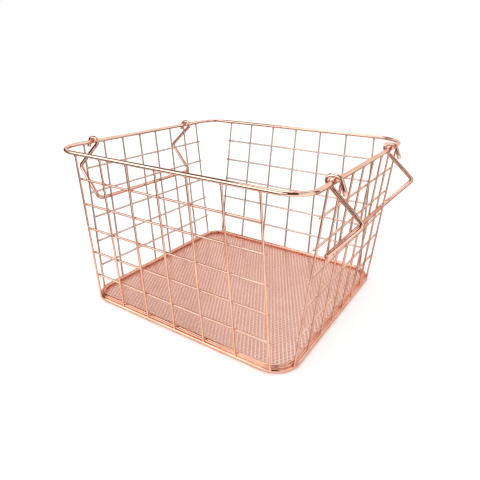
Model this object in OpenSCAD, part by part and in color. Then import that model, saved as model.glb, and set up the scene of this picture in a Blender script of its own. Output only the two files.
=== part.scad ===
// Wire storage basket in copper-plated steel wire, with two swinging bail handles.
//
// A heavy rim wire and a heavy base ring carry four flat grid panels that lean outward.
// Each panel is a row of uprights butted between rim and base, with cross wires welded
// across their inner side. A lighter ring lies inside the base ring and holds down the
// expanded-metal floor. Each handle is one bent wire whose ends hook over a side rail.
//
// Millimetres. The origin is on the standing plane under the basket's middle.
// +X points to the right-hand handle, +Y to the back and +Z up.

/* [Rim] */
// Width of the rim between wire centres, along X
rim_width = 259; // [240:1:300]
// Depth of the rim between wire centres, along Y
rim_depth = 251; // [230:1:290]
// Height of the rim wire's centre above the standing plane
rim_height = 152.7; // [130:0.1:200]
// Corner radius of the rim at the wire's centre
rim_corner_radius = 30; // [15:0.1:32]
// Diameter of the rim wire
rim_wire_d = 3.8; // [3:0.1:5]

/* [Base] */
// Width of the base ring between wire centres, along X
base_width = 217.6; // [212:0.2:236]
// Depth of the base ring between wire centres, along Y
base_depth = 208.6; // [204:0.2:226]
// Corner radius of the base ring at the wire's centre
base_corner_radius = 21.9; // [15:0.1:28]
// Diameter of the base ring's wire
base_wire_d = 3.8; // [3:0.1:5]
// Diameter of the ring that holds the floor down
hold_down_wire_d = 2.6; // [2:0.1:2.8]
// How far the hold-down ring's centre lies inside the base ring's centre
hold_down_inset = 2.2; // [1.6:0.1:2.6]

/* [Floor] */
// Thickness of the expanded-metal floor
floor_thickness = 0.8; // [0.5:0.1:1]
// Short diagonal of a floor diamond, along X
diamond_width = 14; // [13:0.5:24]
// Long diagonal of a floor diamond, along Y
diamond_length = 25.6; // [24:0.4:40]
// Width of a strand between diamonds
strand_width = 1.2; // [0.8:0.1:2]
// Solid margin round the floor's edge
floor_margin = 2.6; // [2:0.1:6]

/* [Grid panels] */
// Diameter of the upright wires
upright_d = 1.8; // [1.6:0.1:2.4]
// Diameter of the cross wires
cross_wire_d = 2; // [1.6:0.1:2.6]
// Uprights in the front panel and in the back panel
wide_panel_uprights = 7; // [3:1:7]
// Spacing of the uprights in the front and back panels
wide_panel_pitch = 32; // [24:0.1:34]
// Uprights in the left panel and in the right panel
side_panel_uprights = 8; // [4:1:8]
// Spacing of the uprights in the left and right panels
side_panel_pitch = 25.6; // [20:0.1:27]
// Cross wires in each panel
cross_wires = 5; // [2:1:5]
// Height of the top cross wires above the standing plane
top_cross_wire_height = 127.7; // [122:0.1:140]
// Height from one cross wire to the next
cross_wire_pitch = 25.1; // [20:0.1:27]
// How far a cross wire runs past the last upright's centre
cross_wire_overhang = 1.6; // [1.2:0.1:4]

/* [Handles] */
// Diameter of the handle wire
handle_wire_d = 3.8; // [2.8:0.1:4.2]
// Distance between a handle's two arms, centre to centre
handle_width = 146.8; // [120:0.2:160]
// How far both handles have slid towards the front
handle_slide = 4.3; // [0:0.1:6]
// How far the arm's kink stands out from the rim's centre
kink_out = 22.2; // [16:0.1:28]
// How far the arm's kink lies below the rim's centre
kink_drop = 28.2; // [22:0.1:34]
// How far the hanging grip lies below the rim's centre
grip_drop = 60; // [50:0.1:72]
// Radius of the bend at the kink, at the wire's centre
kink_radius = 3.4; // [3:0.1:8]
// Radius of the bend between arm and grip, at the wire's centre
grip_corner_radius = 6; // [4:0.1:12]
// Length of the flat on top of a hook, between its two bends
hook_flat = 3; // [0:0.1:5]
// How far the middle of that flat lies inside the rim's centre
hook_shift = 0.5; // [0:0.1:1]
// Length of the straight end past the hook
hook_end_length = 11.4; // [4:0.1:14]
// How far the straight end leans out from upright
hook_open_angle = 20; // [10:1:50]

/* [Clearances] */
// Gap left at a weld, where two wires touch
weld_gap = 0.02; // [0.01:0.01:0.1]
// Gap between a handle's hook and the rim, and between its grip and the wall
running_gap = 0.3; // [0.2:0.05:0.6]
// Distance of the uprights' feet outside the base ring's centre
foot_offset = 0.2; // [0:0.05:0.5]

/* [Hidden] */
round_sides = 32;
turn_steps = 48;
tube_sides = 16;
bend_step = 12;

rim_r = rim_wire_d / 2;
base_r = base_wire_d / 2;
hold_down_r = hold_down_wire_d / 2;
upright_r = upright_d / 2;
cross_r = cross_wire_d / 2;
handle_r = handle_wire_d / 2;

// The hold-down ring rests in the notch on the base ring's inner shoulder.
hold_down_rise = sqrt(pow(base_r + hold_down_r + weld_gap, 2) - pow(hold_down_inset, 2));
hold_down_height = base_r + hold_down_rise;

// The floor is clamped under the hold-down ring and butts against the base ring.
floor_top = hold_down_height - hold_down_r - weld_gap;
floor_inset = base_r + 2 * weld_gap;
floor_width = base_width - 2 * floor_inset;
floor_depth = base_depth - 2 * floor_inset;
floor_corner_radius = base_corner_radius - floor_inset;

// A panel is described in its own frame: [outward, up], with its middle at 0.
WALLS = ["front", "back", "left", "right"];
function is_side(wall) = wall == "left" || wall == "right";
function wall_turn(wall) =
    wall == "right" ? 0 : wall == "back" ? 90 : wall == "left" ? 180 : 270;
function rim_reach(wall) = (is_side(wall) ? rim_width : rim_depth) / 2;
function base_reach(wall) = (is_side(wall) ? base_width : base_depth) / 2;
function base_straight(wall) =
    (is_side(wall) ? base_depth : base_width) / 2 - base_corner_radius;
function upright_count(wall) = is_side(wall) ? side_panel_uprights : wide_panel_uprights;
function upright_pitch(wall) = is_side(wall) ? side_panel_pitch : wide_panel_pitch;
function upright_place(wall, i) =
    (i - (upright_count(wall) + 1) / 2) * upright_pitch(wall);

// The uprights' axes run from the rim's centre to just outside the base ring's centre.
function wall_top(wall) = [rim_reach(wall), rim_height];
function wall_foot(wall) = [base_reach(wall) + foot_offset, base_r];
function wall_length(wall) = norm(wall_top(wall) - wall_foot(wall));
function wall_up(wall) = (wall_top(wall) - wall_foot(wall)) / wall_length(wall);
function wall_inward(wall) = [-wall_up(wall)[1], wall_up(wall)[0]];
function wall_at_height(wall, height) =
    wall_foot(wall) + wall_up(wall) * (height - base_r) / wall_up(wall)[1];

// Distance of an upright's foot from the base ring's centreline, which curves away
// from the panel past the ring's straight stretch.
function foot_miss(wall, place) =
    abs(place) <= base_straight(wall)
    ? foot_offset
    : norm([abs(place) - base_straight(wall), base_corner_radius + foot_offset])
      - base_corner_radius;
// How far up its axis an upright starts so that its end just meets the ring.
function foot_lift(wall, place) =
    sqrt(pow(base_r, 2) - pow(max(0, foot_miss(wall, place) - upright_r), 2)) + weld_gap;

// A handle in its own plane: [outward, up] from the rim's centre. The hook goes round
// the rim in two bends with a short flat between them, and the arm leaves the inner
// bend along the tangent that leads to the kink.
hook_r = rim_r + running_gap + handle_r;
grip_wall = wall_at_height("right", rim_height - grip_drop);
grip_clearance = (upright_r + handle_r + running_gap) / wall_up("right")[1];
kink = [kink_out, -kink_drop];
grip = [grip_wall[0] + grip_clearance - rim_width / 2, -grip_drop];
inner_bend = [-hook_shift - hook_flat / 2, 0];
to_kink = kink - inner_bend;
hook_start = atan2(to_kink[1], to_kink[0]) - acos(hook_r / norm(to_kink));
arm_top = inner_bend + hook_r * [cos(hook_start), sin(hook_start)];
leg_slope = atan2(kink[1] - grip[1], kink[0] - grip[0]);
arm_slope = atan2(arm_top[1] - kink[1], arm_top[0] - kink[0]);
kink_turn = arm_slope - leg_slope;
kink_tangent = kink_radius * tan(kink_turn / 2);
leg_length = norm(kink - grip) - grip_corner_radius - kink_tangent;
arm_length = norm(arm_top - kink) - kink_tangent;

RIM_COLOUR = [0.90, 0.62, 0.50];
BASE_COLOUR = [0.86, 0.54, 0.42];
GRID_COLOUR = [0.80, 0.58, 0.49];
FLOOR_COLOUR = [0.84, 0.58, 0.52];
HANDLE_COLOUR = [0.88, 0.57, 0.45];

// A straight round wire from one point to another.
module rod(from, to, d) {
    run = to - from;
    length = norm(run);
    translate(from)
        rotate([0, acos(run[2] / length), atan2(run[1], run[0])])
            cylinder(h = length, d = d, $fn = round_sides);
}

// The steps of a bent wire: go straight, bend towards one side, or roll the plane of
// the bends that follow about the wire.
function straight(length) = ["straight", length];
function bend(radius, angle) = ["bend", radius, angle];
function roll(angle) = ["roll", angle];

// Moves to the end of a bend.
module after_bend(radius, angle) {
    translate([radius, 0, 0])
        rotate([0, angle, 0])
            translate([-radius, 0, 0])
                children();
}

// A bend of up to a half turn: a full torus, cut square to the wire at both ends.
module bend_piece(radius, angle, d) {
    keep = [2 * (radius + d), 2 * d, radius + d];
    intersection() {
        translate([radius, 0, 0])
            rotate([90, 0, 0])
                rotate_extrude($fn = turn_steps)
                    translate([radius, 0])
                        circle(d = d, $fn = round_sides);
        translate([-d, -d, 0])
            cube(keep);
        after_bend(radius, angle)
            translate([-d, -d, -keep[2]])
                cube(keep);
    }
}

// A flat wire that starts at the origin along +Z and bends towards +X, step by step.
module bent_wire(steps, d, at = 0) {
    if (at < len(steps)) {
        step = steps[at];
        if (step[0] == "straight") {
            cylinder(h = step[1], d = d, $fn = round_sides);
            translate([0, 0, step[1]])
                bent_wire(steps, d, at + 1);
        } else {
            bend_piece(step[1], step[2], d);
            after_bend(step[1], step[2])
                bent_wire(steps, d, at + 1);
        }
    }
}

// A closed ring of wire: a rectangle with round corners.
module wire_ring(width, depth, corner_radius, d) {
    long_side = straight(width - 2 * corner_radius);
    short_side = straight(depth - 2 * corner_radius);
    corner = bend(corner_radius, 90);
    translate([corner_radius - width / 2, -depth / 2, 0])
        rotate([90, 0, 90])
            bent_wire([long_side, corner, short_side, corner,
                       long_side, corner, short_side, corner], d);
}

// The heavy wire round the basket's mouth, butt-welded into a loop.
module top_rim() {
    color(RIM_COLOUR)
        translate([0, 0, rim_height])
            wire_ring(rim_width, rim_depth, rim_corner_radius, rim_wire_d);
}

// The heavy wire that the basket stands on.
module lower_base_ring() {
    color(BASE_COLOUR)
        translate([0, 0, base_r])
            wire_ring(base_width, base_depth, base_corner_radius, base_wire_d);
}

// The lighter wire inside it, which holds the floor down.
module upper_base_ring() {
    color(BASE_COLOUR)
        translate([0, 0, hold_down_height])
            wire_ring(base_width - 2 * hold_down_inset, base_depth - 2 * hold_down_inset,
                      base_corner_radius - hold_down_inset, hold_down_wire_d);
}

module rounded_sheet(width, depth, corner_radius) {
    corner = [width / 2 - corner_radius, depth / 2 - corner_radius];
    square([width, 2 * corner[1]], center = true);
    square([2 * corner[0], depth], center = true);
    for (x = [-1, 1])
        for (y = [-1, 1])
            translate([x * corner[0], y * corner[1]])
                circle(r = corner_radius, $fn = round_sides);
}

// The openings of the floor, as whole and half diamonds inside the margin.
module floor_openings(width, depth) {
    columns = round(width / diamond_width);
    rows = round(depth / diamond_length);
    cell = [width / columns, depth / rows];
    edge_distance = cell[0] * cell[1] / (2 * norm(cell));
    shrink = 1 - strand_width / (2 * edge_distance);
    tip = cell / 2 * shrink;
    for (i = [0 : 2 * columns])
        for (j = [0 : 2 * rows])
            if ((i + j) % 2 == 0)
                translate([(i - columns) * cell[0] / 2, (j - rows) * cell[1] / 2])
                    polygon([[tip[0], 0], [0, tip[1]], [-tip[0], 0], [0, -tip[1]]]);
}

// The floor: one sheet of expanded metal, flat, under the hold-down ring.
module floor_mesh() {
    inner_width = floor_width - 2 * floor_margin;
    inner_depth = floor_depth - 2 * floor_margin;
    color(FLOOR_COLOUR)
        translate([0, 0, floor_top - floor_thickness])
            linear_extrude(height = floor_thickness)
                difference() {
                    rounded_sheet(floor_width, floor_depth, floor_corner_radius);
                    intersection() {
                        rounded_sheet(inner_width, inner_depth,
                                      floor_corner_radius - floor_margin);
                        floor_openings(inner_width, inner_depth);
                    }
                }
}

// One upright, numbered from the left of its panel as seen from outside.
module upright(wall, i) {
    place = upright_place(wall, i);
    foot = wall_foot(wall) + wall_up(wall) * foot_lift(wall, place);
    top = wall_top(wall) - wall_up(wall) * (rim_r + weld_gap);
    color(GRID_COLOUR)
        rotate([0, 0, wall_turn(wall)])
            rod([foot[0], place, foot[1]], [top[0], place, top[1]], upright_d);
}

// One cross wire on the uprights' inner side, numbered from the top.
module cross_wire(wall, i) {
    height = top_cross_wire_height - (i - 1) * cross_wire_pitch;
    centre = wall_at_height(wall, height)
           + wall_inward(wall) * (upright_r + cross_r + weld_gap);
    reach = upright_place(wall, upright_count(wall)) + cross_wire_overhang;
    color(GRID_COLOUR)
        rotate([0, 0, wall_turn(wall)])
            rod([centre[0], -reach, centre[1]], [centre[0], reach, centre[1]],
                cross_wire_d);
}

// The end of a wire while it is bent: [place, heading, side, other side, roll]. The two
// sides are square to the heading, and the roll says towards which of them it bends.
function turned(v, axis, angle) =
    v * cos(angle) + cross(axis, v) * sin(angle) + axis * (axis * v) * (1 - cos(angle));
function end_after_straight(end, length) =
    [end[0] + end[1] * length, end[1], end[2], end[3], end[4]];
function end_after_bend(end, radius, angle) =
    let (towards = end[2] * cos(end[4]) + end[3] * sin(end[4]))
    let (axis = cross(end[1], towards))
    [end[0] + towards * radius * (1 - cos(angle)) + end[1] * radius * sin(angle),
     turned(end[1], axis, angle), turned(end[2], axis, angle), turned(end[3], axis, angle),
     end[4]];
function end_after_roll(end, angle) = [end[0], end[1], end[2], end[3], end[4] + angle];

// The ends that a step passes through, a few of them along a bend.
function ends_of_step(end, step) =
    let (count = step[0] == "bend" ? ceil(step[2] / bend_step) : 1)
    step[0] == "straight" ? [end_after_straight(end, step[1])]
    : step[0] == "bend"
      ? [for (i = [1 : count]) end_after_bend(end, step[1], step[2] * i / count)]
    : [end_after_roll(end, step[1])];
function ends_of_wire(end, steps, at = 0) =
    at == len(steps) ? []
    : let (passed = ends_of_step(end, steps[at]))
      concat(steps[at][0] == "roll" ? [] : passed,
             ends_of_wire(passed[len(passed) - 1], steps, at + 1));

// The wire's skin: a ring of points round each end, and the faces between the rings.
function ring_of_points(end, d) =
    [for (i = [0 : tube_sides - 1])
        end[0] + (end[2] * cos(360 * i / tube_sides) + end[3] * sin(360 * i / tube_sides))
                 * d / 2];
function mirrored_y(points) = [for (p = points) [p[0], -p[1], p[2]]];
module tube(rings) {
    last = len(rings) - 1;
    function at(ring, i) = ring * tube_sides + i % tube_sides;
    polyhedron(
        points = [for (ring = rings) for (point = ring) point],
        faces = concat(
            [[for (i = [0 : tube_sides - 1]) at(0, i)]],
            [for (j = [0 : last - 1]) for (i = [0 : tube_sides - 1])
                each [[at(j, i), at(j + 1, i), at(j + 1, i + 1)],
                      [at(j, i), at(j + 1, i + 1), at(j, i + 1)]]],
            [[for (i = [tube_sides - 1 : -1 : 0]) at(last, i)]]));
}

// A whole handle for the right-hand rail, hanging against the wall: one wire, which is
// followed from the middle of its grip to the free end of a hook, and the same mirrored.
module handle() {
    half_grip = handle_width / 2 - grip_corner_radius;
    heading = [0, -1, 0];
    side = [cos(leg_slope), 0, sin(leg_slope)];
    steps = [
        straight(half_grip),
        bend(grip_corner_radius, 90),
        straight(leg_length),
        roll(90),
        bend(kink_radius, kink_turn),
        straight(arm_length),
        roll(180),
        bend(hook_r, hook_start + 270),
        straight(hook_flat),
        bend(hook_r, 90 - hook_open_angle),
        straight(hook_end_length)
    ];
    ends = ends_of_wire([[0, 0, 0], heading, side, cross(heading, side), 0], steps);
    half = [for (end = ends) ring_of_points(end, handle_wire_d)];
    other_half = [for (i = [len(half) - 1 : -1 : 0]) mirrored_y(half[i])];
    color(HANDLE_COLOUR)
        translate([rim_width / 2 + grip[0], -handle_slide, rim_height + grip[1]])
            tube(concat(other_half, half));
}

module right_handle() {
    handle();
}

module left_handle() {
    mirror([1, 0, 0])
        handle();
}

top_rim();
lower_base_ring();
upper_base_ring();
floor_mesh();
for (wall = WALLS) {
    for (i = [1 : upright_count(wall)])
        upright(wall, i);
    for (i = [1 : cross_wires])
        cross_wire(wall, i);
}
left_handle();
right_handle();
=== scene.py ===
# A wire storage basket in rose-gold plated steel wire, with two swinging handles.
# Metres. The origin is on the standing plane under the basket's middle: +X points to the
# right-hand handle, +Y to the back and +Z up. The sections follow the basket as it is made.
import math
import random

import bpy
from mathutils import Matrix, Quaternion, Vector


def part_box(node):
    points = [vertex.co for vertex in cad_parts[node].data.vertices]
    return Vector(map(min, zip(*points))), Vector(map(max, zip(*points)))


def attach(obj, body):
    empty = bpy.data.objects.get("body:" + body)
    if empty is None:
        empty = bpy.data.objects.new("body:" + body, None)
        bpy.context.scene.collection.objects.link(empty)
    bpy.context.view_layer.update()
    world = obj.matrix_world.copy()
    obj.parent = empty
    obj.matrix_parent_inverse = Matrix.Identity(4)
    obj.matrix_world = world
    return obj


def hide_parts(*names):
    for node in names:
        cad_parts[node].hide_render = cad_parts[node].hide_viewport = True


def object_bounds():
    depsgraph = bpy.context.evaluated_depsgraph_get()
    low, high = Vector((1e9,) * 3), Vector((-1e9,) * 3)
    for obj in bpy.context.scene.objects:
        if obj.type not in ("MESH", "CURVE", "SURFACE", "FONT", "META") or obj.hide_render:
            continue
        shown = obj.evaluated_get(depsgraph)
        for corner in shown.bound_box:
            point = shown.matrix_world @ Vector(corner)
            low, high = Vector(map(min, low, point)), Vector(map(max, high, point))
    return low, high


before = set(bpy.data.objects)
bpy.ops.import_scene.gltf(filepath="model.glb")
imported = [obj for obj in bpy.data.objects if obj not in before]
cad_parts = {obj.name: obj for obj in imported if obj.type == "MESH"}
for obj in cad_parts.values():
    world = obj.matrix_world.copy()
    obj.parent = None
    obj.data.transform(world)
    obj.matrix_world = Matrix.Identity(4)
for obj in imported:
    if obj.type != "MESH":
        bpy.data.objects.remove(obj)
cad_low, cad_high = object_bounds()

# --- Base ring ---------------------------------------------------------------------------
# The heavy wire that the basket stands on. It is drawn steel wire, bent to a rectangle with
# round corners, butt-welded into a loop on its front side, and plated rose gold.

MM = 0.001
BASE_CORNER_RADIUS = 21.9 * MM
BASE_WELD_PLACE = 52 * MM
BASE_WELD_SWELL = 0.16 * MM
BASE_WELD_HALF_LENGTH = 1.3 * MM
CORNERS_FROM_FRONT_RIGHT = ((1, -1), (1, 1), (-1, 1), (-1, -1))
RING_STEP = 8 * MM
SHARP_EDGE_ANGLE = 50
base_low, base_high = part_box("lower_base_ring")
base_wire_radius = (base_high.z - base_low.z) / 2
base_centre_height = (base_high.z + base_low.z) / 2


def stretch(start, end, longest_step):
    """Points along a straight run, without its last point."""
    count = max(1, math.ceil((end - start).length / longest_step))
    return [start.lerp(end, i / count) for i in range(count)]


def ring_centre_line(low, high, wire_radius, corner_radii):
    """The centre line of a rounded rectangle of wire that fills a box, from the front right."""
    height = (low.z + high.z) / 2
    arc_steps = 18
    line = []
    for turn, (x, y) in enumerate(CORNERS_FROM_FRONT_RIGHT):
        corner_radius = corner_radii[turn]
        centre = Vector((
            x * (high.x - wire_radius - corner_radius),
            y * (high.y - wire_radius - corner_radius),
            height))
        arc = []
        for i in range(arc_steps + 1):
            angle = math.radians(-90 + 90 * turn + 90 * i / arc_steps)
            arc.append(centre + corner_radius * Vector((math.cos(angle), math.sin(angle), 0)))
        if line:
            line += stretch(line.pop(), arc[0], RING_STEP)
        line += arc
    line += stretch(line.pop(), line[0], RING_STEP)
    return line


def drawn_wire(line, radii, closed=False, sides=16):
    """The skin of a round wire along a line, with its places along and around the wire."""
    count = len(line)
    tangents = []
    for i in range(count):
        ahead = line[(i + 1) % count] if closed else line[min(i + 1, count - 1)]
        behind = line[i - 1] if closed or i > 0 else line[0]
        tangents.append((ahead - behind).normalized())
    side = Vector((0, 0, 1)) if abs(tangents[0].z) < 0.9 else Vector((1, 0, 0))
    points = []
    drawn = []
    along = 0.0
    for i in range(count):
        side = (side - tangents[i] * side.dot(tangents[i])).normalized()
        other = tangents[i].cross(side)
        along += (line[i] - line[i - 1]).length if i else 0.0
        for k in range(sides):
            angle = math.tau * k / sides
            outward = side * math.cos(angle) + other * math.sin(angle)
            points.append(line[i] + outward * radii[i])
            drawn.append((along, radii[i] * math.cos(angle), radii[i] * math.sin(angle)))
    faces = []
    for i in range(count if closed else count - 1):
        here = i * sides
        there = (i + 1) % count * sides
        for k in range(sides):
            m = (k + 1) % sides
            faces.append((here + k, here + m, there + m, there + k))
    if not closed:
        faces.append(tuple(reversed(range(sides))))
        faces.append(tuple(range((count - 1) * sides, count * sides)))
    return points, faces, drawn


def upset_collar(place, direction, wire_radius, swell, half_length):
    """The low ring of metal that a butt weld leaves round a wire after it is dressed."""
    steps_each_way = 4
    buried_radius = wire_radius * 0.97
    line = []
    radii = []
    for i in range(2 * steps_each_way + 1):
        t = i / steps_each_way - 1
        line.append(place + direction * half_length * t)
        radii.append(buried_radius + (swell + wire_radius - buried_radius) * (1 - t * t) ** 1.5)
    return drawn_wire(line, radii)


def joined_piece(name, parts, material, node, body="basket"):
    """One piece from several closed skins, standing for a node and riding on its body."""
    points = []
    faces = []
    drawn = []
    for part_points, part_faces, part_drawn in parts:
        first = len(points)
        points += part_points
        faces += [tuple(first + i for i in face) for face in part_faces]
        drawn += part_drawn
    mesh = bpy.data.meshes.new(name)
    mesh.from_pydata(points, [], faces)
    place_on_wire = mesh.attributes.new("drawn", "FLOAT_VECTOR", "POINT")
    place_on_wire.data.foreach_set("vector", [value for place in drawn for value in place])
    mesh.shade_smooth()
    mesh.set_sharp_from_angle(angle=math.radians(SHARP_EDGE_ANGLE))
    mesh.materials.append(material)
    piece = bpy.data.objects.new(name, mesh)
    bpy.context.scene.collection.objects.link(piece)
    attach(piece, body)
    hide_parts(node)


CLOUDS_PER_METRE = 55
DIE_LINES_PER_METRE = (60, 3000, 3000)
PITS_PER_METRE = 1900
RELIEF_STRENGTH = 0.12
RELIEF_DEPTH = 0.02 * MM
SHEEN_SPREAD = 0.04


def rose_gold_plating(name, tone, deep_tone, edge_tint, roughness):
    """Bright copper-rose plating on drawn wire: clouded tone, die lines and fine pits."""
    material = bpy.data.materials.new(name)
    material.use_nodes = True
    nodes = material.node_tree.nodes
    link = material.node_tree.links.new
    shader = nodes["Principled BSDF"]
    shader.inputs["Metallic"].default_value = 1.0
    shader.inputs["Specular Tint"].default_value = (*edge_tint, 1)

    place = nodes.new("ShaderNodeTexCoord")
    clouds = nodes.new("ShaderNodeTexNoise")
    clouds.inputs["Scale"].default_value = CLOUDS_PER_METRE
    clouds.inputs["Detail"].default_value = 4
    link(place.outputs["Object"], clouds.inputs["Vector"])
    cloud_contrast = nodes.new("ShaderNodeMapRange")
    cloud_contrast.inputs["From Min"].default_value = 0.36
    cloud_contrast.inputs["From Max"].default_value = 0.66
    link(clouds.outputs["Fac"], cloud_contrast.inputs["Value"])
    tones = nodes.new("ShaderNodeMix")
    tones.data_type = "RGBA"
    tones.inputs["A"].default_value = (*deep_tone, 1)
    tones.inputs["B"].default_value = (*tone, 1)
    link(cloud_contrast.outputs["Result"], tones.inputs["Factor"])
    link(tones.outputs["Result"], shader.inputs["Base Color"])

    on_wire = nodes.new("ShaderNodeAttribute")
    on_wire.attribute_name = "drawn"
    lengthen = nodes.new("ShaderNodeMapping")
    lengthen.inputs["Scale"].default_value = DIE_LINES_PER_METRE
    link(on_wire.outputs["Vector"], lengthen.inputs["Vector"])
    die_lines = nodes.new("ShaderNodeTexNoise")
    die_lines.inputs["Scale"].default_value = 1
    die_lines.inputs["Detail"].default_value = 2
    link(lengthen.outputs["Vector"], die_lines.inputs["Vector"])
    pits = nodes.new("ShaderNodeTexNoise")
    pits.inputs["Scale"].default_value = PITS_PER_METRE
    link(place.outputs["Object"], pits.inputs["Vector"])

    polish = nodes.new("ShaderNodeMapRange")
    polish.inputs["To Min"].default_value = roughness - SHEEN_SPREAD
    polish.inputs["To Max"].default_value = roughness + SHEEN_SPREAD
    link(clouds.outputs["Fac"], polish.inputs["Value"])
    link(polish.outputs["Result"], shader.inputs["Roughness"])

    def relief(texture):
        """A shallow bump that follows a texture."""
        bump = nodes.new("ShaderNodeBump")
        bump.inputs["Strength"].default_value = RELIEF_STRENGTH
        bump.inputs["Distance"].default_value = RELIEF_DEPTH
        link(texture.outputs["Fac"], bump.inputs["Height"])
        return bump

    line_bump = relief(die_lines)
    pit_bump = relief(pits)
    link(line_bump.outputs["Normal"], pit_bump.inputs["Normal"])
    link(pit_bump.outputs["Normal"], shader.inputs["Normal"])
    return material


base_plating = rose_gold_plating(
    "base_ring_plating",
    tone=(0.93, 0.56, 0.42),
    deep_tone=(0.84, 0.42, 0.29),
    edge_tint=(0.6, 0.32, 0.24),
    roughness=0.13,
)
base_line = ring_centre_line(base_low, base_high, base_wire_radius, [BASE_CORNER_RADIUS] * 4)
base_weld = upset_collar(
    Vector((BASE_WELD_PLACE,
            base_low.y + base_wire_radius,
            base_centre_height + BASE_WELD_SWELL)),
    Vector((1, 0, 0)), base_wire_radius, BASE_WELD_SWELL, BASE_WELD_HALF_LENGTH,
)
joined_piece(
    "base_ring_wire",
    [drawn_wire(base_line, [base_wire_radius] * len(base_line), closed=True, sides=20),
     base_weld],
    base_plating, "lower_base_ring",
)

# --- Floor -------------------------------------------------------------------------------
# A sheet of expanded steel: slit in staggered rows and pulled open into small diamonds,
# whose strands stay twisted out of the sheet. It is cut to the ring and plated with it.

DIAMOND_SHORT_WAY = 3.66 * MM
DIAMOND_LONG_WAY = 6.6 * MM
STRAND_WIDTH = 0.9 * MM
STRAND_TWIST = -0.1 * MM
SHEET_THICKNESS = 0.45 * MM
FLOOR_CORNER_RADIUS = 20 * MM
HOLE_SHORT_TIP = 0.86
HOLE_LONG_TIP = 0.9
LEAST_INSET = 0.3 * MM
MICRONS_PER_METRE = 1e6
floor_low, floor_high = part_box("floor_mesh")


def inside_sheet(x, y):
    """How far a point lies inside the sheet's rounded outline; negative outside."""
    over_x = abs(x) - (floor_high.x - FLOOR_CORNER_RADIUS)
    over_y = abs(y) - (floor_high.y - FLOOR_CORNER_RADIUS)
    if over_x > 0 and over_y > 0:
        return FLOOR_CORNER_RADIUS - math.hypot(over_x, over_y)
    return min(floor_high.x - abs(x), floor_high.y - abs(y))


def held_in_sheet(x, y):
    """The same point, moved onto the sheet's outline where it lies outside."""
    reach_x = floor_high.x - FLOOR_CORNER_RADIUS
    reach_y = floor_high.y - FLOOR_CORNER_RADIUS
    over_x = max(abs(x) - reach_x, 0)
    over_y = max(abs(y) - reach_y, 0)
    over = math.hypot(over_x, over_y)
    if over <= FLOOR_CORNER_RADIUS:
        return x, y
    shrink = FLOOR_CORNER_RADIUS / over
    return (math.copysign(min(abs(x), reach_x) + over_x * shrink, x),
            math.copysign(min(abs(y), reach_y) + over_y * shrink, y))


def diamond(short_tip, long_tip):
    """The eight points of a diamond of half size 1, with its tips drawn in to these shares."""
    return [(short_tip, 0), (0.5, 0.5), (0, long_tip), (-0.5, 0.5),
            (-short_tip, 0), (-0.5, -0.5), (0, -long_tip), (0.5, -0.5)]


def expanded_metal():
    """The whole sheet as one closed lattice, built from one frame of metal per diamond."""
    columns = round(2 * floor_high.x / DIAMOND_SHORT_WAY)
    rows = round(2 * floor_high.y / DIAMOND_LONG_WAY)
    half_x = floor_high.x / columns
    half_y = floor_high.y / rows
    middle = (floor_low.z + floor_high.z) / 2
    shrink = 1 - STRAND_WIDTH * math.hypot(half_x, half_y) / (2 * half_x * half_y)
    rim_shape = diamond(1, 1)
    hole_shape = diamond(HOLE_SHORT_TIP, HOLE_LONG_TIP)
    points = []
    index_of = {}

    def vertex(x, y, lift, level):
        """The number of a point of the sheet's top (level 1) or bottom (level -1) face.

        Points that agree to the nearest micron are one point.
        """
        key = (round(x * MICRONS_PER_METRE), round(y * MICRONS_PER_METRE), level)
        if key not in index_of:
            index_of[key] = len(points)
            points.append(Vector((x, y, middle + lift + level * SHEET_THICKNESS / 2)))
        return index_of[key]

    faces = []
    rim_edges = {}
    for i in range(-columns, columns + 1):
        for j in range(-rows, rows + 1):
            centre_x = i * half_x
            centre_y = j * half_y
            if (i + j) % 2 or inside_sheet(centre_x, centre_y) < LEAST_INSET:
                continue
            loops = {}
            for level in (1, -1):
                rim = []
                hole = []
                for (rim_x, rim_y), (hole_x, hole_y) in zip(rim_shape, hole_shape):
                    x, y = held_in_sheet(centre_x + rim_x * half_x, centre_y + rim_y * half_y)
                    rim.append(vertex(x, y, 0, level))
                    x, y = held_in_sheet(centre_x + hole_x * shrink * half_x,
                                         centre_y + hole_y * shrink * half_y)
                    hole.append(vertex(x, y, STRAND_TWIST * hole_x / HOLE_SHORT_TIP, level))
                loops[level] = (rim, hole)
            top_rim, top_hole = loops[1]
            low_rim, low_hole = loops[-1]
            for k in range(len(rim_shape)):
                m = (k + 1) % len(rim_shape)
                faces.append((top_rim[k], top_rim[m], top_hole[m], top_hole[k]))
                faces.append((low_rim[m], low_rim[k], low_hole[k], low_hole[m]))
                faces.append((top_hole[k], top_hole[m], low_hole[m], low_hole[k]))
                rim_edges[(top_rim[k], top_rim[m])] = (low_rim[k], low_rim[m])
    for (start, end), (low_start, low_end) in rim_edges.items():
        if (end, start) not in rim_edges:
            faces.append((start, low_start, low_end, end))
    whole = [face for face in faces if len(set(face)) == 4]
    return points, whole, [tuple(point) for point in points]


floor_plating = rose_gold_plating(
    "expanded_sheet_plating",
    tone=(0.98, 0.75, 0.66),
    deep_tone=(0.93, 0.67, 0.57),
    edge_tint=(0.9, 0.68, 0.59),
    roughness=0.25,
)
joined_piece(
    "expanded_floor_sheet", [expanded_metal()], floor_plating, "floor_mesh",
)

# --- Hold-down ring ----------------------------------------------------------------------
# A lighter ring of the same wire that clamps the cut edge of the sheet. Spot welds tie it to
# the base ring, and a thin run of solder closes the notch between the two rings.

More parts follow.
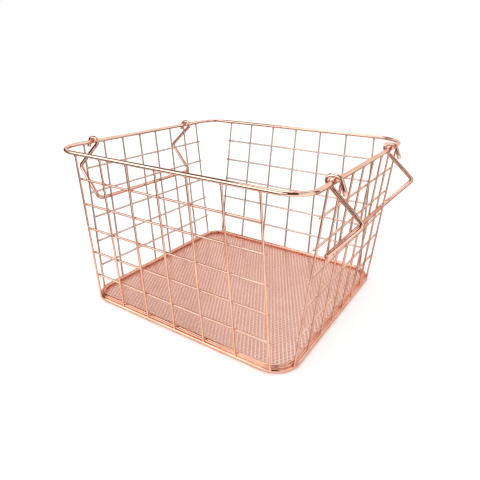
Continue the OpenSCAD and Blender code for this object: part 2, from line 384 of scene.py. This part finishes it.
HOLD_DOWN_CORNER_RADIUS = 19.7 * MM
BEAD_RADIUS = 0.75 * MM
BEAD_SINK = 0.12 * MM
WELDS_PER_LONG_SIDE = 6
WELD_ROW_SHARE = 0.82
RING_WELD_LIFT = 0.6 * MM
RING_WELD_REACH = Vector((1.3, 0.7, 0.7)) * MM
NUGGET_UNEVENNESS = (0.86, 1.08)
hold_down_low, hold_down_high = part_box("upper_base_ring")
hold_down_radius = (hold_down_high.z - hold_down_low.z) / 2
hold_down_line = ring_centre_line(
    hold_down_low, hold_down_high, hold_down_radius, [HOLD_DOWN_CORNER_RADIUS] * 4)
weld_chance = random.Random(4)


def weld_nugget(place, reach):
    """A blob of fused metal at a spot weld: a slightly uneven closed drop."""
    rows = 5
    around = 8
    points = [place + Vector((0, 0, reach.z))]
    for i in range(1, rows):
        for k in range(around):
            polar = math.pi * i / rows
            angle = math.tau * k / around
            uneven = weld_chance.uniform(*NUGGET_UNEVENNESS)
            points.append(place + uneven * Vector((
                reach.x * math.sin(polar) * math.cos(angle),
                reach.y * math.sin(polar) * math.sin(angle),
                reach.z * math.cos(polar))))
    points.append(place - Vector((0, 0, reach.z)))
    last = len(points) - 1
    faces = []
    for k in range(around):
        m = (k + 1) % around
        faces.append((0, 1 + k, 1 + m))
        for i in range(rows - 2):
            upper = 1 + i * around
            lower = upper + around
            faces.append((upper + k, lower + k, lower + m, upper + m))
        faces.append((last, last - around + m, last - around + k))
    return points, faces, [tuple(point) for point in points]


out_of_notch = base_high.x - base_wire_radius - (hold_down_high.x - hold_down_radius)
up_the_notch = (hold_down_high.z + hold_down_low.z) / 2 - base_centre_height
between_centres = math.hypot(out_of_notch, up_the_notch)
from_base = base_wire_radius + BEAD_RADIUS - BEAD_SINK
from_hold_down = hold_down_radius + BEAD_RADIUS - BEAD_SINK
up_the_line = (
    between_centres ** 2 + from_base ** 2 - from_hold_down ** 2) / (2 * between_centres)
off_the_line = math.sqrt(max(from_base ** 2 - up_the_line ** 2, 0))
bead_out = (-out_of_notch * up_the_line + up_the_notch * off_the_line) / between_centres
bead_up = (up_the_notch * up_the_line + out_of_notch * off_the_line) / between_centres
bead_reach = base_wire_radius - BEAD_RADIUS - bead_out
bead_low = Vector((base_low.x + bead_reach, base_low.y + bead_reach, 0))
bead_high = Vector((base_high.x - bead_reach, base_high.y - bead_reach, 0))
bead_low.z = bead_high.z = base_centre_height + bead_up
bead_line = ring_centre_line(
    bead_low, bead_high, BEAD_RADIUS, [BASE_CORNER_RADIUS + bead_out] * 4)
hold_down_parts = [
    drawn_wire(hold_down_line, [hold_down_radius] * len(hold_down_line), closed=True, sides=14),
    drawn_wire(bead_line, [BEAD_RADIUS] * len(bead_line), closed=True, sides=10)]
between_rings = (hold_down_high.y + base_high.y) / 2 - (hold_down_radius + base_wire_radius) / 2
for side_sign in (-1, 1):
    for i in range(WELDS_PER_LONG_SIDE):
        across = (i + 0.5) / WELDS_PER_LONG_SIDE * 2 - 1
        hold_down_parts.append(weld_nugget(
            Vector((across * WELD_ROW_SHARE * base_high.x,
                    side_sign * between_rings,
                    hold_down_low.z + RING_WELD_LIFT)),
            RING_WELD_REACH))
joined_piece(
    "hold_down_wire", hold_down_parts, base_plating, "upper_base_ring",
)

# --- Rim ---------------------------------------------------------------------------------
# The heavy wire round the mouth, bent and butt-welded like the base ring. It carries the
# four grid panels, and its two side runs are the rails that the handles hook over.

RIM_CORNER_RADII = (20.5 * MM, 31 * MM, 22 * MM, 30 * MM)
RIM_WELD_PLACE = -20 * MM
RIM_WELD_SWELL = 0.14 * MM
RIM_WELD_HALF_LENGTH = 1.2 * MM
rim_low, rim_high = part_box("top_rim")
rim_wire_radius = (rim_high.z - rim_low.z) / 2
rim_centre_height = (rim_high.z + rim_low.z) / 2
rim_plating = rose_gold_plating(
    "rim_plating",
    tone=(0.96, 0.70, 0.57),
    deep_tone=(0.91, 0.58, 0.45),
    edge_tint=(0.86, 0.64, 0.55),
    roughness=0.08,
)
rim_line = ring_centre_line(rim_low, rim_high, rim_wire_radius, RIM_CORNER_RADII)
rim_weld = upset_collar(
    Vector((RIM_WELD_PLACE, rim_high.y - rim_wire_radius - RIM_WELD_SWELL, rim_centre_height)),
    Vector((1, 0, 0)), rim_wire_radius, RIM_WELD_SWELL, RIM_WELD_HALF_LENGTH,
)
joined_piece(
    "rim_wire",
    [drawn_wire(rim_line, [rim_wire_radius] * len(rim_line), closed=True, sides=20), rim_weld],
    rim_plating, "top_rim",
)

# --- Uprights ----------------------------------------------------------------------------
# Thin wires butted between base ring and rim, seven or eight to a panel. Each end is fused
# into the heavy wire with a small collar of weld metal, and none is perfectly straight.

WALL_NAMES = ("front", "back", "left", "right")
UPRIGHT_COUNTS = {"front": 7, "back": 7, "left": 8, "right": 8}
UPRIGHT_SINK = 1.0 * MM
UPRIGHT_BOW = 0.12 * MM
WIRE_STEP = 6 * MM
bow_chance = random.Random(11)


def wire_ends(node):
    """The centres of a straight wire's two ends, from its solid."""
    corners = [vertex.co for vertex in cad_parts[node].data.vertices]
    spans = [max(c[axis] for c in corners) - min(c[axis] for c in corners) for axis in range(3)]
    axis = spans.index(max(spans))
    middle = sum(c[axis] for c in corners) / len(corners)
    ends = []
    for sign in (-1, 1):
        half = [c for c in corners if sign * (c[axis] - middle) > 0]
        ends.append(Vector([
            (min(c[k] for c in half) + max(c[k] for c in half)) / 2 for k in range(3)]))
    return ends


def bowed_line(start, end, bow, step):
    """A nearly straight centre line, bowed a little to one side."""
    count = math.ceil((end - start).length / step)
    return [start.lerp(end, i / count) + bow * math.sin(math.pi * i / count)
            for i in range(count + 1)]


def weld_collar(place, direction, wire_radius):
    """The fillet of metal where a thin wire's end is fused into a heavy one.

    The profile gives places along the wire in millimetres and shares of its radius.
    """
    profile = [(-0.6, 1.35), (0.0, 1.42), (0.5, 1.28), (1.0, 1.1), (1.5, 1.0), (1.9, 0.93)]
    line = [place + direction * along * MM for along, swell in profile]
    return drawn_wire(line, [wire_radius * swell for along, swell in profile], sides=12)


# The uprights are the same wire on every wall, but each wall gets its own copy of the plating.
# The back, left and right copies are darker: painted shade. All four have dark edge tints:
# painted dark reflections along the wires' edges.
lit_and_shaded_upright_platings = {
    "front": rose_gold_plating(
        "front_upright_plating", tone=(0.96, 0.59, 0.42), deep_tone=(0.90, 0.48, 0.32),
        edge_tint=(0.45, 0.22, 0.16), roughness=0.17),
    "back": rose_gold_plating(
        "back_upright_plating_painted_shade", tone=(0.66, 0.47, 0.39), deep_tone=(0.53, 0.36, 0.29),
        edge_tint=(0.45, 0.25, 0.2), roughness=0.2),
    "left": rose_gold_plating(
        "left_upright_plating_painted_shade", tone=(0.77, 0.55, 0.43), deep_tone=(0.62, 0.41, 0.31),
        edge_tint=(0.45, 0.25, 0.2), roughness=0.2),
    "right": rose_gold_plating(
        "right_upright_plating_painted_shade", tone=(0.83, 0.51, 0.38), deep_tone=(0.65, 0.37, 0.27),
        edge_tint=(0.4, 0.2, 0.15), roughness=0.16),
}
upright_axes = {}
for wall in WALL_NAMES:
    for number in range(1, UPRIGHT_COUNTS[wall] + 1):
        node = f"{wall}_upright_{number}"
        foot, top = sorted(wire_ends(node), key=lambda end: end.z)
        upwards = (top - foot).normalized()
        upright_axes[node] = (foot, top)
        low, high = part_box(node)
        thickness = min(high.x - low.x, high.y - low.y)
        bow = Vector((bow_chance.uniform(-1, 1), bow_chance.uniform(-1, 1), 0)) * UPRIGHT_BOW
        line = bowed_line(
            foot - upwards * UPRIGHT_SINK, top + upwards * UPRIGHT_SINK, bow, WIRE_STEP)
        joined_piece(
            f"{wall}_upright_wire_{number}",
            [drawn_wire(line, [thickness / 2] * len(line), sides=14),
             weld_collar(foot, upwards, thickness / 2),
             weld_collar(top, -upwards, thickness / 2)],
            lit_and_shaded_upright_platings[wall], node,
        )

# --- Cross wires -------------------------------------------------------------------------
# Five thin wires across the inner side of each panel. A press welds them to every upright
# at once, which sinks the wires into each other and leaves a nugget at each crossing.

CROSS_WIRES = 5
WELD_SET_DOWN = 0.25 * MM
CROSSING_NUGGET_REACH = Vector((1.15, 1.15, 1.05)) * MM
CUT_END = 0.35 * MM
CUT_SHOULDER_PLACE = 0.35
CUT_SHOULDER_SHARE = 0.92
CUT_FACE_SHARE = 0.7
CUT_SHORT = 0.5 * MM
# The cross wires are the same wire on every wall, but each wall gets its own copy of the
# plating. The back and left copies are darker and greyer: painted shade. The right copy is
# lighter, with a pale edge tint: painted light for how those wires catch the light.
lit_and_shaded_cross_wire_platings = {
    "front": rose_gold_plating(
        "front_cross_wire_plating", tone=(0.90, 0.60, 0.47), deep_tone=(0.80, 0.48, 0.37),
        edge_tint=(0.7, 0.45, 0.36), roughness=0.24),
    "back": rose_gold_plating(
        "back_cross_wire_plating_painted_shade", tone=(0.76, 0.61, 0.54), deep_tone=(0.66, 0.50, 0.43),
        edge_tint=(0.6, 0.45, 0.4), roughness=0.24),
    "left": rose_gold_plating(
        "left_cross_wire_plating_painted_shade", tone=(0.82, 0.64, 0.56), deep_tone=(0.70, 0.51, 0.44),
        edge_tint=(0.65, 0.48, 0.42), roughness=0.24),
    "right": rose_gold_plating(
        "right_cross_wire_plating_painted_light", tone=(0.97, 0.72, 0.60), deep_tone=(0.92, 0.62, 0.49),
        edge_tint=(0.92, 0.72, 0.62), roughness=0.2),
}


def cut_wire(line, wire_radius, sides=12):
    """A wire with sheared ends, each rounded off a little by tumbling."""
    forward = (line[1] - line[0]).normalized()
    backward = (line[-2] - line[-1]).normalized()
    trimmed = [
        line[0],
        line[0] + forward * CUT_END * CUT_SHOULDER_PLACE,
        line[0] + forward * CUT_END,
        *line[1:-1],
        line[-1] + backward * CUT_END,
        line[-1] + backward * CUT_END * CUT_SHOULDER_PLACE,
        line[-1],
    ]
    cut_radii = [wire_radius * CUT_FACE_SHARE, wire_radius * CUT_SHOULDER_SHARE]
    radii = cut_radii + [wire_radius] * (len(trimmed) - 4) + cut_radii[::-1]
    return drawn_wire(trimmed, radii, sides=sides)


def closest_on(start, end, other_start, other_end):
    """The point of one straight line that lies nearest to another."""
    d1 = end - start
    d2 = other_end - other_start
    across = d1.cross(d2)
    t = (other_start - start).cross(d2).dot(across) / across.length_squared
    return start + d1 * t


for wall in WALL_NAMES:
    for number in range(1, CROSS_WIRES + 1):
        node = f"{wall}_cross_wire_{number}"
        start, end = wire_ends(node)
        low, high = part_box(node)
        wire_radius = (high.z - low.z) / 2
        nuggets = []
        for upright in range(1, UPRIGHT_COUNTS[wall] + 1):
            foot, top = upright_axes[f"{wall}_upright_{upright}"]
            on_cross = closest_on(start, end, foot, top)
            on_upright = closest_on(foot, top, start, end)
            outward = (on_upright - on_cross).normalized()
            nuggets.append(weld_nugget(on_cross.lerp(on_upright, 0.5), CROSSING_NUGGET_REACH))
        bow = Vector((0, 0, bow_chance.uniform(-1, 1))) * UPRIGHT_BOW
        start += outward * WELD_SET_DOWN + (end - start).normalized() * CUT_SHORT
        end += outward * WELD_SET_DOWN - (end - start).normalized() * CUT_SHORT
        line = bowed_line(start, end, bow, WIRE_STEP)
        joined_piece(
            f"{wall}_cross_wire_{number}_welded",
            [cut_wire(line, wire_radius)] + nuggets,
            lit_and_shaded_cross_wire_platings[wall], node,
        )

# --- Handles -----------------------------------------------------------------------------
# Each handle is one wire: a straight grip, two arms that are kinked outward, and a hook at
# each end, bent round the rim's side run so that the handle swings and slides on it.

GRIP_CORNER_RADIUS = 6 * MM
KINK_OUT = 22.18 * MM
KINK_DROP = 28.2 * MM
KINK_RADIUS = 3.4 * MM
HOOK_CLEARANCE = 0.12 * MM
HOOK_FLAT = 3 * MM
HOOK_SHIFT = 0.5 * MM
HOOK_OPEN_ANGLE = 20
HOOK_END_LENGTHS = {"right": 11.4 * MM, "left": 7.8 * MM}
HANDLE_WIRE_RADIUS = 1.9 * MM
UPRIGHT_RADIUS = 0.9 * MM
GRIP_CLEARANCE = 0.3 * MM
WALL_LEAN_ALLOWANCE = 1.01
grip_low, grip_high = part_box("right_handle")


def handle_centre_line(hook_end_length):
    """The right-hand handle's centre line, hanging, from one hook's end to the other's."""
    rail = Vector((rim_high.x - rim_wire_radius, rim_centre_height))
    foot, top = upright_axes["right_upright_4"]
    grip_height = grip_low.z + HANDLE_WIRE_RADIUS
    wall_x = foot.x + (top.x - foot.x) * (grip_height - foot.z) / (top.z - foot.z)
    stand_off = (UPRIGHT_RADIUS + GRIP_CLEARANCE + HANDLE_WIRE_RADIUS) * WALL_LEAN_ALLOWANCE
    grip = Vector((wall_x + stand_off, grip_height))
    kink = rail + Vector((KINK_OUT, -KINK_DROP))
    hook_radius = rim_wire_radius + HOOK_CLEARANCE + HANDLE_WIRE_RADIUS
    inner_bend = rail + Vector((-HOOK_SHIFT - HOOK_FLAT / 2, 0))
    outer_bend = rail + Vector((-HOOK_SHIFT + HOOK_FLAT / 2, 0))
    to_kink = kink - inner_bend
    hook_start = math.atan2(to_kink.y, to_kink.x) - math.acos(hook_radius / to_kink.length)
    arm_top = inner_bend + hook_radius * Vector((math.cos(hook_start), math.sin(hook_start)))
    half_width = (grip_high.y - grip_low.y) / 2 - HANDLE_WIRE_RADIUS
    middle_y = (grip_high.y + grip_low.y) / 2

    def at(across, profile):
        """A point of the handle, from its distance off the middle and its side view."""
        return Vector((profile.x, across, profile.y))

    def rounded(before, corner, after, radius, steps):
        """The arc that rounds off a corner between two straight runs."""
        back = (before - corner).normalized()
        forth = (after - corner).normalized()
        half_angle = back.angle(forth) / 2
        centre = corner + (back + forth).normalized() * radius / math.sin(half_angle)
        first = corner + back * radius / math.tan(half_angle) - centre
        last = corner + forth * radius / math.tan(half_angle) - centre
        return [centre + first.slerp(last, i / steps).normalized() * radius
                for i in range(steps + 1)]

    grip_corner = at(half_width, grip)
    half = [at(0, grip)]
    half += rounded(
        at(0, grip), grip_corner, at(half_width, kink), GRIP_CORNER_RADIUS, steps=9)
    half += rounded(
        grip_corner, at(half_width, kink), at(half_width, arm_top), KINK_RADIUS, steps=7)
    end_angle = math.radians(HOOK_OPEN_ANGLE)
    for centre, first, last, steps in ((inner_bend, hook_start + math.tau, math.pi / 2, 16),
                                       (outer_bend, math.pi / 2, end_angle, 8)):
        for i in range(steps + 1):
            angle = first + (last - first) * i / steps
            out = hook_radius * Vector((math.cos(angle), math.sin(angle)))
            half.append(at(half_width, centre + out))
    end_run = Vector((math.sin(end_angle), -math.cos(end_angle))) * hook_end_length
    half.append(half[-1] + Vector((end_run.x, 0, end_run.y)))
    other_half = [Vector((p.x, -p.y, p.z)) for p in reversed(half[1:])]
    shift = Vector((0, middle_y, 0))
    coarse = [p + shift for p in other_half + half]
    line = []
    for start, end in zip(coarse, coarse[1:]):
        line += stretch(start, end, WIRE_STEP)
    return line + [coarse[-1]]


handle_plating = rose_gold_plating(
    "handle_plating",
    tone=(0.95, 0.63, 0.50),
    deep_tone=(0.85, 0.48, 0.36),
    edge_tint=(0.7, 0.46, 0.37),
    roughness=0.11,
)
right_line = handle_centre_line(HOOK_END_LENGTHS["right"])
left_line = [Vector((-p.x, p.y, p.z)) for p in handle_centre_line(HOOK_END_LENGTHS["left"])]
for side, line in (("right", right_line), ("left", left_line)):
    joined_piece(
        f"{side}_handle_wire",
        [cut_wire(line, HANDLE_WIRE_RADIUS, sides=18)],
        handle_plating, f"{side}_handle", body=f"{side}_handle",
    )

# --- Studio ------------------------------------------------------------------------------
# A plain pale floor, a white surround, soft lamps, dark cards out of the picture that give
# bright wire its dark lines, and the camera where the photograph was taken from.

FLOOR_SIZE = 8.0
GLOW_INSET = 3 * MM
GLOW_LIFT = 0.2 * MM
BOARD_LIFT = 0.5 * MM
CARD_BROWN = (0.09, 0.035, 0.022)
BROWN = (0.30, 0.17, 0.12)
DEEP_BROWN = (0.06, 0.025, 0.015)
PALE_BROWN = (0.5, 0.33, 0.26)


def seen_or_mirrored(tree):
    """A socket that is 1 for what the camera, a mirror or glass sees, and 0 for light."""
    path = tree.nodes.new("ShaderNodeLightPath")
    either = tree.nodes.new("ShaderNodeMath")
    either.operation = "MAXIMUM"
    tree.links.new(path.outputs["Is Camera Ray"], either.inputs[0])
    tree.links.new(path.outputs["Is Glossy Ray"], either.inputs[1])
    any_of_three = tree.nodes.new("ShaderNodeMath")
    any_of_three.operation = "MAXIMUM"
    tree.links.new(either.outputs["Value"], any_of_three.inputs[0])
    tree.links.new(path.outputs["Is Transmission Ray"], any_of_three.inputs[1])
    return any_of_three.outputs["Value"]


def studio_floor():
    """A pale matt floor that keeps the basket's faint shadow and brightens to white far off."""
    mesh = bpy.data.meshes.new("studio_floor")
    half = FLOOR_SIZE / 2
    corners = [(-half, -half, 0), (half, -half, 0), (half, half, 0), (-half, half, 0)]
    mesh.from_pydata(corners, [], [(0, 1, 2, 3)])
    material = bpy.data.materials.new("pale_floor")
    material.use_nodes = True
    nodes = material.node_tree.nodes
    link = material.node_tree.links.new
    shader = nodes["Principled BSDF"]
    shader.inputs["Base Color"].default_value = (0.9, 0.9, 0.9, 1)
    shader.inputs["Roughness"].default_value = 0.9
    shader.inputs["Specular IOR Level"].default_value = 0.0
    shader.inputs["Emission Color"].default_value = (1, 1, 1, 1)
    place = nodes.new("ShaderNodeTexCoord")
    distance = nodes.new("ShaderNodeVectorMath")
    distance.operation = "LENGTH"
    link(place.outputs["Object"], distance.inputs[0])
    brighten = nodes.new("ShaderNodeMapRange")
    brighten.inputs["From Min"].default_value = 0.12
    brighten.inputs["From Max"].default_value = 1.4
    brighten.inputs["To Min"].default_value = 0.24
    brighten.inputs["To Max"].default_value = 0.42
    link(distance.outputs["Value"], brighten.inputs["Value"])
    seen = nodes.new("ShaderNodeMath")
    seen.operation = "MULTIPLY"
    link(brighten.outputs["Result"], seen.inputs[0])
    link(seen_or_mirrored(material.node_tree), seen.inputs[1])
    link(seen.outputs["Value"], shader.inputs["Emission Strength"])
    mesh.materials.append(material)
    floor = bpy.data.objects.new("studio_floor", mesh)
    bpy.context.scene.collection.objects.link(floor)


def painted_bounce_light_patch():
    """The patch of table inside the base ring, painted with the floor sheet's warm bounced
    light and shade: a darker pink colour, and a faint pink glow for the camera and reflections.
    """
    mesh = bpy.data.meshes.new("painted_bounce_light_patch")
    reach_x = base_high.x - GLOW_INSET
    reach_y = base_high.y - GLOW_INSET
    corner = BASE_CORNER_RADIUS
    arc_steps = 8
    points = []
    for turn, (x, y) in enumerate(CORNERS_FROM_FRONT_RIGHT):
        for i in range(arc_steps + 1):
            angle = math.radians(-90 + 90 * turn + 90 * i / arc_steps)
            points.append((x * (reach_x - corner) + corner * math.cos(angle),
                           y * (reach_y - corner) + corner * math.sin(angle), GLOW_LIFT))
    mesh.from_pydata(points, [], [tuple(range(len(points)))])
    material = bpy.data.materials.new("painted_warm_light_and_shade")
    material.use_nodes = True
    nodes = material.node_tree.nodes
    shader = nodes["Principled BSDF"]
    shader.inputs["Base Color"].default_value = (0.75, 0.49, 0.42, 1)
    shader.inputs["Roughness"].default_value = 0.9
    shader.inputs["Specular IOR Level"].default_value = 0.0
    shader.inputs["Emission Color"].default_value = (1, 0.57, 0.49, 1)
    strength = nodes.new("ShaderNodeMath")
    strength.operation = "MULTIPLY"
    strength.inputs[1].default_value = 0.2
    material.node_tree.links.new(seen_or_mirrored(material.node_tree), strength.inputs[0])
    material.node_tree.links.new(strength.outputs["Value"], shader.inputs["Emission Strength"])
    mesh.materials.append(material)
    glow = bpy.data.objects.new("painted_bounce_light_patch", mesh)
    bpy.context.scene.collection.objects.link(glow)


def studio_world():
    """White to the camera and in reflections, and a soft fill for everything else."""
    world = bpy.data.worlds.new("studio_world")
    bpy.context.scene.world = world
    world.use_nodes = True
    nodes = world.node_tree.nodes
    link = world.node_tree.links.new
    fill = nodes["Background"]
    fill.inputs["Color"].default_value = (1, 1, 1, 1)
    fill.inputs["Strength"].default_value = 0.75
    white = nodes.new("ShaderNodeBackground")
    white.inputs["Color"].default_value = (1, 1, 1, 1)
    white.inputs["Strength"].default_value = 1.0
    pick = nodes.new("ShaderNodeMixShader")
    link(seen_or_mirrored(world.node_tree), pick.inputs["Fac"])
    link(fill.outputs["Background"], pick.inputs[1])
    link(white.outputs["Background"], pick.inputs[2])
    link(pick.outputs["Shader"], nodes["World Output"].inputs["Surface"])


def towards(azimuth_degrees, elevation_degrees):
    """A direction out from the basket; azimuth 0 is straight in front and 90 to the right."""
    turn = math.radians(azimuth_degrees)
    lift = math.radians(elevation_degrees)
    return Vector((
        math.sin(turn) * math.cos(lift), -math.cos(turn) * math.cos(lift), math.sin(lift)))


def soft_lamp(name, direction, distance, width, height, radiance):
    """A softbox that points at the basket and looks this bright in its reflections."""
    light = bpy.data.lights.new(name, "AREA")
    light.shape = "RECTANGLE"
    light.size = width
    light.size_y = height
    light.energy = radiance * math.pi * width * height
    lamp = bpy.data.objects.new(name, light)
    lamp.location = basket_middle + direction * distance
    lamp.rotation_mode = "QUATERNION"
    lamp.rotation_quaternion = (-direction).to_track_quat("-Z", "Y")
    bpy.context.scene.collection.objects.link(lamp)


def dark_card(name, points, faces, colour=CARD_BROWN):
    """A dark surface beside the set, which only reflections show."""
    mesh = bpy.data.meshes.new(name)
    mesh.from_pydata(points, [], faces)
    material = bpy.data.materials.new(name)
    material.use_nodes = True
    shader = material.node_tree.nodes["Principled BSDF"]
    shader.inputs["Base Color"].default_value = (*colour, 1)
    shader.inputs["Roughness"].default_value = 1.0
    mesh.materials.append(material)
    card = bpy.data.objects.new(name, mesh)
    card.visible_camera = False
    card.visible_shadow = False
    card.visible_diffuse = False
    bpy.context.scene.collection.objects.link(card)


def surround_card(name, azimuths, elevations, distance):
    """A dark card curved round the set, between two azimuths and two elevations."""
    degrees_per_step = 10
    steps = max(8, round(abs(azimuths[1] - azimuths[0]) / degrees_per_step))
    points = []
    for i in range(steps + 1):
        azimuth_here = azimuths[0] + (azimuths[1] - azimuths[0]) * i / steps
        points += [basket_middle + towards(azimuth_here, level) * distance
                   for level in elevations]
    faces = [(2 * i, 2 * i + 2, 2 * i + 3, 2 * i + 1) for i in range(steps)]
    dark_card(name, points, faces)


def table_board(name, x_span, y_span, colour):
    """A brown board lying on the table, which only reflections show."""
    points = [(x_span[0], y_span[0], BOARD_LIFT), (x_span[1], y_span[0], BOARD_LIFT),
              (x_span[1], y_span[1], BOARD_LIFT), (x_span[0], y_span[1], BOARD_LIFT)]
    dark_card(name, points, [(0, 1, 2, 3)], colour)


def standing_card(name, place, facing_azimuth, width, height_span):
    """A dark card standing upright, broadside to an azimuth."""
    turn = math.radians(facing_azimuth)
    side = Vector((math.cos(turn), math.sin(turn), 0)) * width / 2
    base = Vector((place[0], place[1], 0))
    bottom = Vector((0, 0, height_span[0]))
    top = Vector((0, 0, height_span[1]))
    points = [base - side + bottom, base + side + bottom, base + side + top, base - side + top]
    dark_card(name, points, [(0, 1, 2, 3)])


basket_middle = (cad_low + cad_high) / 2
studio_floor()
studio_world()
painted_bounce_light_patch()
soft_lamp("front_left_softbox", towards(-31, 23),
          distance=1.5, width=1.4, height=0.97, radiance=1.28)
soft_lamp("overhead_softbox", towards(-60, 75),
          distance=1.6, width=1.1, height=1.1, radiance=1.6)
surround_card("dark_band_above", azimuths=(-140, 100), elevations=(42, 62), distance=1.4)
surround_card("dark_corner_above", azimuths=(-42, 66), elevations=(61, 84), distance=1.4)
surround_card("card_high_on_the_left", azimuths=(-130, -76), elevations=(29, 43), distance=1.4)
standing_card("card_on_the_right", place=(0.535, 0.18), facing_azimuth=125,
              width=0.21, height_span=(0.10, 0.62))
surround_card("card_behind_high", azimuths=(218, 258), elevations=(36, 48), distance=1.7)
standing_card("card_on_the_left", place=(-0.42, -0.13), facing_azimuth=90,
              width=0.31, height_span=(0.07, 0.24))
standing_card("card_behind_the_camera", place=(0.32, -0.46), facing_azimuth=33,
              width=0.3, height_span=(0.06, 0.95))
for board_name, x_span, y_span, board_colour in (
        ("board_on_the_left", (-0.55, -0.135), (-0.16, 0.50), BROWN),
        ("board_behind", (-0.55, 0.55), (0.13, 0.60), BROWN),
        ("board_on_the_right", (0.135, 0.55), (0.0, 0.60), PALE_BROWN),
        ("board_front_left", (-1.7, 0.06), (-1.7, -0.21), DEEP_BROWN),
        ("board_in_front", (0.06, 1.7), (-1.7, -0.55), DEEP_BROWN),
        ("board_near_the_corner", (0.06, 0.17), (-0.55, -0.32), DEEP_BROWN)):
    table_board(board_name, x_span, y_span, board_colour)

CAMERA_AZIMUTH = 33.709
CAMERA_PLACE = Vector((0.24036, -0.37479, 0.23832))
CAMERA_ELEVATION = 11.367
CAMERA_ROLL = 0.5325
CAMERA_LENS_MM = 33.80
SENSOR_WIDTH_MM = 36.0
CAMERA_SHIFT = (0.0144, -0.1922)
sight = -towards(CAMERA_AZIMUTH, CAMERA_ELEVATION)
camera_data = bpy.data.cameras.new("photo_camera")
camera_data.sensor_width = SENSOR_WIDTH_MM
camera_data.lens = CAMERA_LENS_MM
camera_data.shift_x, camera_data.shift_y = CAMERA_SHIFT
camera_data.clip_start = 0.01
camera = bpy.data.objects.new("photo_camera", camera_data)
camera.location = CAMERA_PLACE
camera.rotation_mode = "QUATERNION"
camera.rotation_quaternion = sight.to_track_quat("-Z", "Y") @ Quaternion(
    (0, 0, 1), math.radians(CAMERA_ROLL))
bpy.context.scene.collection.objects.link(camera)
bpy.context.scene.camera = camera
bpy.context.scene.view_settings.view_transform = "Standard"
